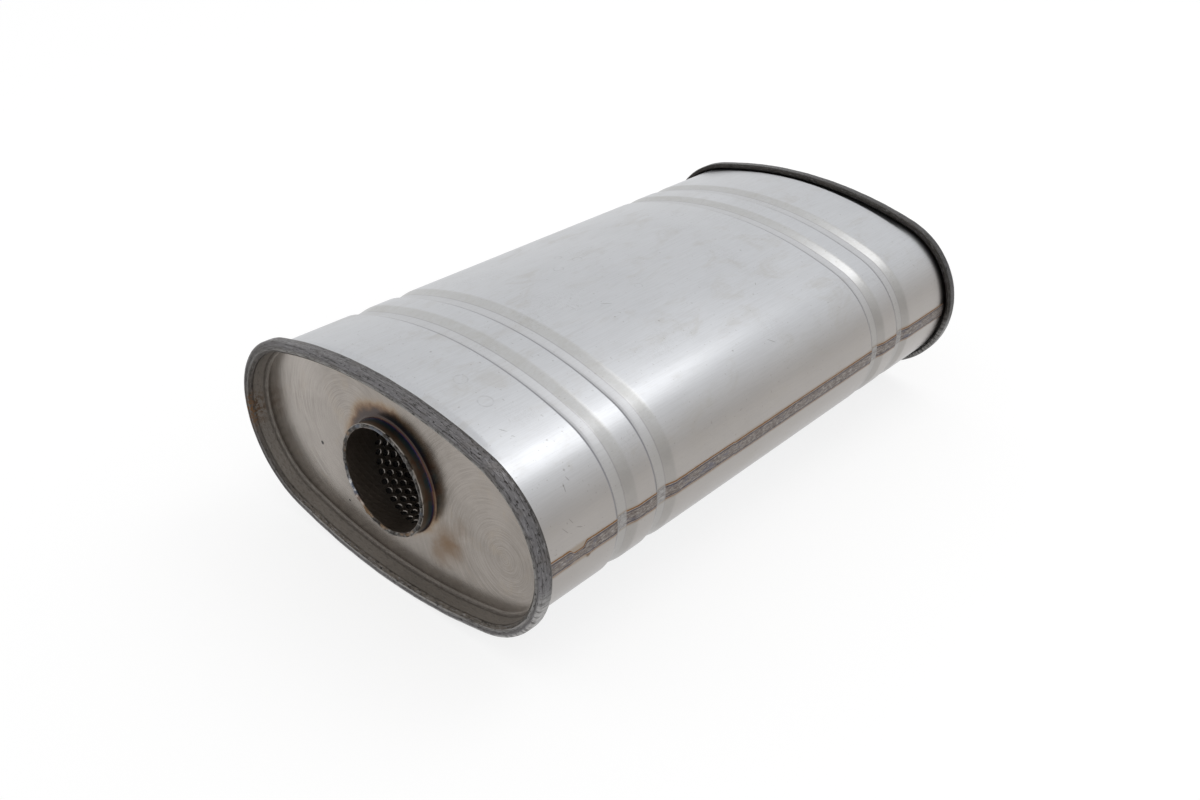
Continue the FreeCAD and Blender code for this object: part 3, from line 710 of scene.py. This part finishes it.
def make_shell():
    """The sheet as one closed skin: outside, front edge, inside, rear edge."""
    shell_ring, shell_normal, _ = oval(SHELL_OVAL, AROUND)
    dish_ring, dish_normal, _ = oval(DISH_OVAL, AROUND)
    lap_in = SHEET + LAP_GAP
    lap_out = lap_in + SHEET
    rings = []

    def ring(y, points):
        rings.append(np.column_stack([points[:, 0], np.full(len(points), y), points[:, 1]]))

    def shoulder(side, rise_shell, rise_dish, outward):
        steps = np.linspace(0, 1, 9)[1:]
        steps = steps if outward else steps[::-1]
        for step in steps:
            ease = step * step * (3 - 2 * step)
            y = side * (SHOULDER_START + (SHOULDER_END - SHOULDER_START) * step)
            main = shell_ring + rise_shell * shell_normal
            end = dish_ring + rise_dish * dish_normal
            ring(y, main * (1 - ease) + end * ease)

    stations = shell_stations()
    depths = groove_depth(stations)
    edge = RIM - SHEET - CURL_GAP
    # Outside, from the front edge to the rear edge.
    ring(-edge, dish_ring + lap_out * dish_normal)
    shoulder(-1, 0.0, lap_out, False)
    for y, depth in zip(stations, depths):
        points = shell_ring - depth * shell_normal
        calm = (abs(y) < SHOULDER_START - 4) * (1 - depth / GROOVE_DEPTH)
        where = [Vector((x, y * 0.7, z)) for x, z in points]
        wave = np.array([noise.noise(v / 46.0) + 0.35 * noise.noise(v / 17.0) for v in where])
        points = points + (0.06 * calm * (wave - 0.35))[:, None] * shell_normal
        ring(y, points)
    shoulder(1, 0.0, lap_out, True)
    ring(edge, dish_ring + lap_out * dish_normal)
    # Inside, back again.
    ring(edge, dish_ring + lap_in * dish_normal)
    shoulder(1, -SHEET, lap_in, False)
    corners = (0.0, NEAR_FLANK, NEAR_FLANK + GROOVE_FLOOR, GROOVE_WIDTH)
    bends = [start + into for start in GROOVE_STARTS for into in corners]
    for y in [SHOULDER_START, *bends[::-1], -SHOULDER_START]:
        depth = groove_depth(np.array([y]))[0]
        ring(y, shell_ring - (SHEET + depth) * shell_normal)
    shoulder(-1, -SHEET, lap_in, True)
    ring(-edge, dish_ring + lap_in * dish_normal)
    verts = np.concatenate(rings)
    faces = grid_faces(len(rings), AROUND, closed_rows=True)[:, ::-1]
    return new_piece("shell_skin", verts, [faces], SHELL_STEEL, ["shell"])


def seam_half_width(y):
    """Half the width of the weld at station y: uneven, with a narrow stretch near the front."""
    half = SEAM_HALF - 0.15 + 0.16 * noise_row((v * 0.05, 3.1, 0.0) for v in y)
    half += 0.12 * noise_row((v * 0.4, 7.7, 0.0) for v in y)
    narrow = np.clip((y + 174) / 2.5, 0, 1) * np.clip((-162.5 - y) / 2.5, 0, 1)
    return half - 1.7 * narrow, -0.9 * narrow


def make_seam():
    """The weld as a low band over the shell, with a rippled crown that fades into its edges."""
    ys = np.arange(-SHOULDER_END, SHOULDER_END + 0.4, 0.8)
    across = np.linspace(-1, 1, 25)
    half, drift = seam_half_width(ys)
    drift += np.where(ys < -45, 0.2, -0.3) + 0.15 * noise_row((v * 0.02, 1.3, 4.0) for v in ys)
    depth = groove_depth(ys)
    depth[np.abs(ys) > SHOULDER_START] = 0
    centre = SHELL_OVAL[0] - SHELL_OVAL[2]
    verts = []
    uv = []
    for y, w, d, shift in zip(ys, half, depth, drift):
        for a in across:
            z = SEAM_Z + shift + a * w
            surface = SHELL_OVAL[2] - d
            ripple = 0.5 + 0.5 * noise.noise(Vector((y * 0.9, z * 1.6, 0.0)))
            worn = 1 - 0.7 * (d / GROOVE_DEPTH)
            crown = 0.12 + (1 - abs(a) ** 6) * (0.02 + 0.2 * ripple) * worn
            radius = surface + crown
            verts.append((centre + math.sqrt(radius**2 - z**2), y, z))
            uv.append((a * MM, y * MM))
    top = len(verts)
    for y, w, d, shift in zip(ys, half, depth, drift):
        for a in across:
            z = SEAM_Z + shift + a * w
            radius = SHELL_OVAL[2] - d - SEAM_ROOT
            verts.append((centre + math.sqrt(radius**2 - z**2), y, z))
            uv.append((a * MM, y * MM))
    rows, columns = len(ys), len(across)
    upper = grid_faces(rows, columns, closed_columns=False)
    lower = upper[:, ::-1] + top
    rim = [r * columns for r in range(rows)]
    rim += [(rows - 1) * columns + c for c in range(1, columns)]
    rim += [r * columns + columns - 1 for r in range(rows - 2, -1, -1)]
    rim += [c for c in range(columns - 2, 0, -1)]
    rim = np.array(rim)
    walls = np.stack([rim, np.roll(rim, -1), np.roll(rim, -1) + top, rim + top], axis=1)
    return new_piece("seam_weld_band", verts, [upper[:, ::-1], lower[:, ::-1], walls[:, ::-1]],
                     SEAM_METAL, ["shell_seam_weld"], uv=uv)


# End caps

CAP_AROUND = 480


def make_cap(side, name, cad_node, material):
    """Bead, dish wall, face and neck as one closed skin. The rear one is turned half round."""
    ring, normal, along = oval(DISH_OVAL, CAP_AROUND)
    lip = BEAD_HEIGHT - 3.0
    outline = rounded([
        (FACE, -FACE_MARGIN, 0),
        (FACE, 0.0, 1.8),
        (RIM - 1.9, 0.0, 1.2),
        (RIM - 0.15, 1.9, 0.5),
        (RIM, 2.4, 0.15),
        (RIM - 0.28, 2.9, 0.3),
        (RIM - 0.28, 3.9, 0.3),
        (RIM, 4.5, 0.1),
        (RIM, BEAD_HEIGHT, 2.1),
        (BEAD_BACK, BEAD_HEIGHT, 1.7),
        (BEAD_BACK, lip, 0.55),
        (BEAD_BACK + 1.2, lip, 0.55),
        (BEAD_BACK + 1.2, BEAD_HEIGHT - SHEET, 0.6),
        (RIM - SHEET, BEAD_HEIGHT - SHEET, 0.8),
        (RIM - SHEET, SHEET, 0.3),
        (FACE_BACK, SHEET, 0.9),
        (FACE_BACK, -FACE_MARGIN, 0),
    ], 6)
    outline = refine(outline, 1.3)
    stations = np.array([s for s, _ in outline])
    rises = np.array([r for _, r in outline])
    steps = np.hypot(np.diff(stations), np.diff(rises))
    travelled = np.concatenate([[0], np.cumsum(steps)])

    verts = []
    uv = []
    seed = 3 if side < 0 else 8
    lumps = noise_row((x / 11.0, seed, z / 11.0) for x, z in ring)
    dents = noise_row((x / 3.2, seed + 5, z / 3.2) for x, z in ring)
    for station, rise, t in zip(stations, rises, travelled):
        on_bead = min(1.0, max(0.0, (station - BEAD_BACK + 2.0) / 2.0)) * (1 if rise > -0.5 else 0)
        uneven = on_bead * (0.16 * lumps + 0.07 * dents)
        grown = ring + (rise + uneven * (1 if rise > 3 else 0.4))[:, None] * normal
        grown = np.clip(grown, (-BEAD_REACH[0], -BEAD_REACH[1]), BEAD_REACH)
        lean = uneven * 0.35 if station > RIM - 1.0 else np.zeros(CAP_AROUND)
        ys = np.minimum(station + lean - (0.12 if station > RIM - 1.0 else 0.0), RIM)
        verts.append(np.column_stack([grown[:, 0], -ys, grown[:, 1]]))
        uv.append(np.column_stack([along * MM, np.full(CAP_AROUND, t * MM)]))
    rows = len(verts)
    faces = [grid_faces(rows, CAP_AROUND)]

    # The face's outside and inside: rings that turn from the oval into the neck's circle.
    inner_ring = ring - FACE_MARGIN * normal
    angle = np.arctan2(inner_ring[:, 1], inner_ring[:, 0])
    circle = np.column_stack([np.cos(angle), np.sin(angle)])

    def face_rings(y, radius, count):
        out = []
        for k in range(1, count + 1):
            share = (k / count) ** 0.85
            points = inner_ring * (1 - share) + circle * radius * share
            out.append((y, points))
        return out

    outside = face_rings(FACE, NECK_OUT + NECK_ROOT, 16)
    for k in range(1, 7):
        turn = math.pi / 2 * k / 6
        radius = NECK_OUT + NECK_ROOT * (1 - math.sin(turn))
        outside.append((FACE + NECK_ROOT * (1 - math.cos(turn)), circle * radius))
    for k in range(1, 8):
        outside.append((FACE + NECK_ROOT + (MOUTH - FACE - NECK_ROOT) * k / 7, circle * NECK_OUT))
    inside = [(MOUTH, circle * NECK_IN), (FACE_BACK, circle * NECK_IN)]
    back = face_rings(FACE_BACK, NECK_IN + 0.4, 6)
    start = rows * CAP_AROUND
    extra = []
    for y, points in outside:
        flat = FACE_BACK + 1.0 < y < FACE + 0.01
        if flat:
            wave = 0.07 * noise_row((x / 28.0, seed + 2, z / 28.0) for x, z in points)
            near_edge = np.clip((np.hypot(*(points - inner_ring).T)) / 12.0, 0, 1)
            near_neck = np.clip((np.hypot(*points.T) - NECK_OUT - NECK_ROOT) / 6.0, 0, 1)
            depth = y + wave * near_edge * near_neck
        else:
            depth = np.full(CAP_AROUND, y)
        extra.append(np.column_stack([points[:, 0], -depth, points[:, 1]]))
    for y, points in inside + back[::-1]:
        extra.append(np.column_stack([points[:, 0], np.full(CAP_AROUND, -y), points[:, 1]]))
    for block in extra:
        uv.append(np.column_stack([along * MM, np.full(CAP_AROUND, -20 * MM)]))
    count = len(extra)
    order = [0] + [rows + k for k in range(count)] + [rows - 1]
    joined = []
    for a, b in zip(order[:-1], order[1:]):
        i = np.arange(CAP_AROUND)
        j = (i + 1) % CAP_AROUND
        a, b = a * CAP_AROUND, b * CAP_AROUND
        joined.append(np.stack([b + i, b + j, a + j, a + i], axis=1))
    verts = np.concatenate(verts + extra)
    faces.append(np.concatenate(joined))
    if side > 0:
        verts = verts * np.array([-1, -1, 1])
    return new_piece(name, verts, faces, material, [cad_node], uv=np.concatenate(uv))


def make_mouth_weld(side, name, cad_node):
    """The fused edge of neck and core: a ragged ring with lumps and a wavy inner line."""
    seed = 2.0 if side < 0 else 6.0
    around = 260
    section = 16
    verts = []
    for k in range(around):
        angle = 2 * math.pi * k / around
        c, s = math.cos(angle), math.sin(angle)
        where = Vector((c * 30, seed * 10, s * 30))
        slow = noise.noise(where / 9.0)
        quick = noise.noise(where / 3.4)
        fast = noise.noise(where / 1.5)
        middle = (CORE_IN + NECK_OUT) / 2 + 0.3 * slow + 0.15 * quick
        half = 1.1 + 0.2 * slow + 0.35 * quick + 0.2 * fast
        blob = 0.0
        if side < 0:
            blob = math.exp(-((math.degrees(angle) - 222) / 9.0) ** 2)
        half += 0.35 * blob
        high = 0.75 + 0.35 * slow + 0.4 * quick + 0.2 * fast + 0.5 * blob
        for j in range(section):
            turn = 2 * math.pi * j / section
            out = math.cos(turn)
            up = math.sin(turn)
            radius = middle + half * math.copysign(abs(out) ** 0.8, out)
            y = MOUTH - 0.35 + (high + 0.35) * max(up, 0) ** 0.8 - 0.7 * max(-up, 0)
            rough = 0.1 * noise.noise(Vector((c * 30, turn * 3 + seed, s * 30)) / 1.3)
            verts.append(((radius + rough) * c, -(y + rough * 0.5), (radius + rough) * s))
    faces = grid_faces(around, section)
    verts = np.array(verts)
    if side > 0:
        verts = verts * np.array([-1, -1, 1])
    return new_piece(name, verts, [faces], FUSED_EDGE, [cad_node])


# Core tube

HOLES = 34
ROW_PITCH = 4.9
HOLE_RADIUS = 1.75
EDGE_WIDTH = 0.3
ROUNDED_ROWS = 9
ROWS_PER_TURN = 6
FIRST_DEPTH = 17.2
FIRST_ANGLE = 230.0
LAST_ROW = 70
PLAIN_ROWS = 10


def make_core():
    """The tube's wall in lattice cells, each with a round hole where the pattern has one."""
    pitch = 360.0 / HOLES
    climb = ROW_PITCH * ROWS_PER_TURN / 360.0
    degree = math.radians(1) * CORE_IN
    a_step = np.array([pitch, -climb * pitch])
    b_step = np.array([pitch / 2, ROW_PITCH - climb * pitch / 2])
    corners = [(-0.5, -0.5), (0.5, -0.5), (0.5, 0.5), (-0.5, 0.5)]
    border = []
    for (a0, b0), (a1, b1) in zip(corners, corners[1:] + corners[:1]):
        for k in range(3):
            share = k / 3
            border.append((a0 + (a1 - a0) * share) * a_step + (b0 + (b1 - b0) * share) * b_step)
    border = np.array(border)
    bearing = np.arctan2(border[:, 1], border[:, 0] * degree)
    circle = np.column_stack([np.cos(bearing) / degree, np.sin(bearing)])
    sides = len(border)

    flat = []
    dips = []
    inner_quads = []
    outer_quads = []
    fans = []
    rims = []
    for row in range(-PLAIN_ROWS, LAST_ROW + PLAIN_ROWS + 1):
        for k in range(HOLES):
            angle = pitch * (k + 0.5 * (row % 2))
            y = -MOUTH + FIRST_DEPTH - climb * (angle - FIRST_ANGLE) + row * ROW_PITCH
            if abs(y) > MOUTH + ROW_PITCH:
                continue
            centre = np.array([angle, y])
            base = len(flat)
            outer = centre + border
            outer[:, 1] = np.clip(outer[:, 1], -MOUTH, MOUTH)
            flat.extend(outer)
            i = np.arange(sides)
            j = (i + 1) % sides
            dips.extend([0.0] * sides)
            if 0 <= row <= LAST_ROW:
                flat.extend(centre + circle * HOLE_RADIUS)
                hole = base + sides
                around_hole = np.stack([base + i, base + j, hole + j, hole + i], axis=1)
                outer_quads.append(around_hole)
                rims.append(np.stack([hole + i, hole + j], axis=1))
                # Near the mouths, where they are seen, the punched edges are a little rounded.
                if row < ROUNDED_ROWS or row > LAST_ROW - ROUNDED_ROWS:
                    dips.extend([EDGE_WIDTH] * sides)
                    flat.extend(centre + circle * (HOLE_RADIUS + EDGE_WIDTH))
                    dips.extend([0.0] * sides)
                    edge = hole + sides
                    inner_quads.append(np.stack([base + i, base + j, edge + j, edge + i], axis=1))
                    inner_quads.append(np.stack([edge + i, edge + j, hole + j, hole + i], axis=1))
                else:
                    dips.extend([0.0] * sides)
                    inner_quads.append(around_hole)
            else:
                flat.append((angle, min(max(y, -MOUTH), MOUTH)))
                dips.append(0.0)
                fans.append(np.stack([base + i, base + j, np.full(sides, base + sides)], axis=1))
    flat = np.array(flat)
    wrapped = np.column_stack([np.round(flat[:, 0] % 360.0, 3) % 360.0, np.round(flat[:, 1], 3)])
    _, first, same = np.unique(wrapped, axis=0, return_index=True, return_inverse=True)
    same = same.ravel()
    flat = flat[first]
    dips = np.array(dips)[first]
    inner_quads = same[np.concatenate(inner_quads)]
    outer_quads = same[np.concatenate(outer_quads)]
    fans = same[np.concatenate(fans)]
    rims = same[np.concatenate(rims)]
    distinct = (fans[:, 0] != fans[:, 1]) & (fans[:, 1] != fans[:, 2]) & (fans[:, 0] != fans[:, 2])
    fans = fans[distinct]
    spread = np.ptp(flat[fans][:, :, 1], axis=1) > 1e-6
    fans = fans[spread]

    def shell_of(radius):
        turn = np.radians(flat[:, 0])
        return np.column_stack([radius * np.cos(turn), flat[:, 1], radius * np.sin(turn)])

    count = len(flat)
    verts = np.concatenate([shell_of(CORE_IN + dips), shell_of(CORE_OUT)])
    walls = np.stack([rims[:, 0], rims[:, 1], rims[:, 1] + count, rims[:, 0] + count], axis=1)
    # The cut ends, between the inside's and the outside's border edges.
    edges = np.concatenate([fans[:, [0, 1]], fans[:, [1, 2]], fans[:, [2, 0]]])
    at_end = np.all(np.abs(np.abs(flat[edges, 1]) - MOUTH) < 1e-6, axis=1)
    ends = edges[at_end]
    caps = np.stack([ends[:, 1], ends[:, 0], ends[:, 0] + count, ends[:, 1] + count], axis=1)
    outside = [outer_quads[:, ::-1] + count, fans[:, ::-1] + count]
    groups = [inner_quads, fans, *outside, walls, caps[:, ::-1]]
    used = np.unique(np.concatenate([group.ravel() for group in groups]))
    renumber = np.zeros(len(verts), int)
    renumber[used] = np.arange(len(used))
    return new_piece("core_tube_wall", verts[used], [renumber[group] for group in groups],
                     CORE_METAL, ["perforated_core_tube"], smooth=False)


make_shell()
make_seam()
make_cap(-1, "front_cap_skin", "front_end_cap", FRONT_METAL)
make_cap(1, "rear_cap_skin", "rear_end_cap", REAR_METAL)
make_mouth_weld(-1, "front_mouth_bead", "front_mouth_weld")
make_mouth_weld(1, "rear_mouth_bead", "rear_mouth_weld")
make_core()


# Floor, light and camera

FLOOR_GAP = 0.0002
SENSOR_WIDTH = 36.0
PHOTO_WIDTH = 1200
FOCAL_LENGTH = 1152.77  # in pixels of the photograph


def make_floor():
    """A pale floor that shows white to the camera and in the metal but keeps a soft shadow."""
    size = 6.0
    mesh = bpy.data.meshes.new("floor")
    z = cad_bounds[0][2] - FLOOR_GAP
    corners = [(-size, -size, z), (size, -size, z), (size, size, z), (-size, size, z)]
    mesh.from_pydata(corners, [], [(0, 1, 2, 3)])
    floor = bpy.data.objects.new("floor", mesh)
    bpy.context.scene.collection.objects.link(floor)
    material = bpy.data.materials.new("floor_paper")
    material.use_nodes = True
    nodes = Nodes(material.node_tree)
    nodes.tree.nodes.clear()
    diffuse = nodes.new("ShaderNodeBsdfDiffuse", (0.82, 0.82, 0.82))
    pale = nodes.new("ShaderNodeBsdfDiffuse", (0.3, 0.3, 0.3))
    glow = nodes.new("ShaderNodeEmission", (1.0, 1.0, 1.0), 0.75)
    lit = nodes.new("ShaderNodeAddShader", pale.outputs[0], glow.outputs[0])
    pick = nodes.new("ShaderNodeMixShader", seen_rays(nodes), diffuse.outputs[0], lit.outputs[0])
    nodes.new("ShaderNodeOutputMaterial", pick.outputs[0])
    mesh.materials.append(material)


def seen_rays(nodes):
    """1 for camera, glossy and transmission rays."""
    path = nodes.new("ShaderNodeLightPath")
    total = path.outputs["Is Camera Ray"]
    for name in ("Is Glossy Ray", "Is Transmission Ray"):
        total = nodes.math("ADD", total, path.outputs[name], clamp=True)
    return total


def make_world():
    """White all round, a little dimmer low down on the right, as where a studio's wall ends."""
    world = bpy.data.worlds.new("studio")
    world.use_nodes = True
    bpy.context.scene.world = world
    nodes = Nodes(world.node_tree)
    nodes.tree.nodes.clear()
    right, _, up = nodes.split(nodes.new("ShaderNodeTexCoord").outputs["Generated"])
    dimmer = nodes.times(nodes.step(right, 0.2, 0.8), nodes.step(up, 0.2, 0.65, 1.0, 0.0))
    colour = nodes.mix(dimmer, (1.0, 1.0, 1.0), (0.8, 0.8, 0.8))
    white = nodes.new("ShaderNodeBackground", colour, 1.0)
    fill = nodes.new("ShaderNodeBackground", (1.0, 1.0, 1.0), 0.8)
    pick = nodes.new("ShaderNodeMixShader", seen_rays(nodes), fill.outputs[0], white.outputs[0])
    nodes.new("ShaderNodeOutputWorld", pick.outputs[0])


def aim(thing, target, roll=0.0):
    """Points a camera's or lamp's -Z at target, turned by roll degrees about its view."""
    back = (thing.location - Vector(target)).normalized()
    right = Vector((0, 0, 1)).cross(back).normalized()
    up = back.cross(right)
    c, s = math.cos(math.radians(roll)), math.sin(math.radians(roll))
    right2 = right * c + up * s
    up2 = up * c - right * s
    thing.rotation_mode = "QUATERNION"
    thing.rotation_quaternion = Matrix((right2, up2, back)).transposed().to_quaternion()


def make_lamp(name, place, target, size, power):
    lamp = bpy.data.lights.new(name, "AREA")
    lamp.shape = "RECTANGLE"
    lamp.size, lamp.size_y = size
    lamp.energy = power
    thing = bpy.data.objects.new(name, lamp)
    bpy.context.scene.collection.objects.link(thing)
    thing.location = place
    aim(thing, target)


def make_camera():
    """The photograph's camera, fitted to the outlines of the rims, shell and mouth."""
    camera = bpy.data.cameras.new("camera")
    camera.sensor_fit = "HORIZONTAL"
    camera.sensor_width = SENSOR_WIDTH
    camera.lens = FOCAL_LENGTH / PHOTO_WIDTH * SENSOR_WIDTH
    camera.clip_start = 0.01
    camera.clip_end = 20.0
    thing = bpy.data.objects.new("camera", camera)
    bpy.context.scene.collection.objects.link(thing)
    thing.location = (0.40328, -0.48296, 0.34601)
    aim(thing, (0.00626, -0.03264, -0.01892), 1.4)
    bpy.context.scene.camera = thing


make_floor()
make_world()
make_lamp("back_box", (0.25, 0.765, 1.386), (0.0, 0.0, 0.0), (0.8, 0.75), 2.8)
make_camera()
bpy.context.scene.view_settings.view_transform = "Standard"
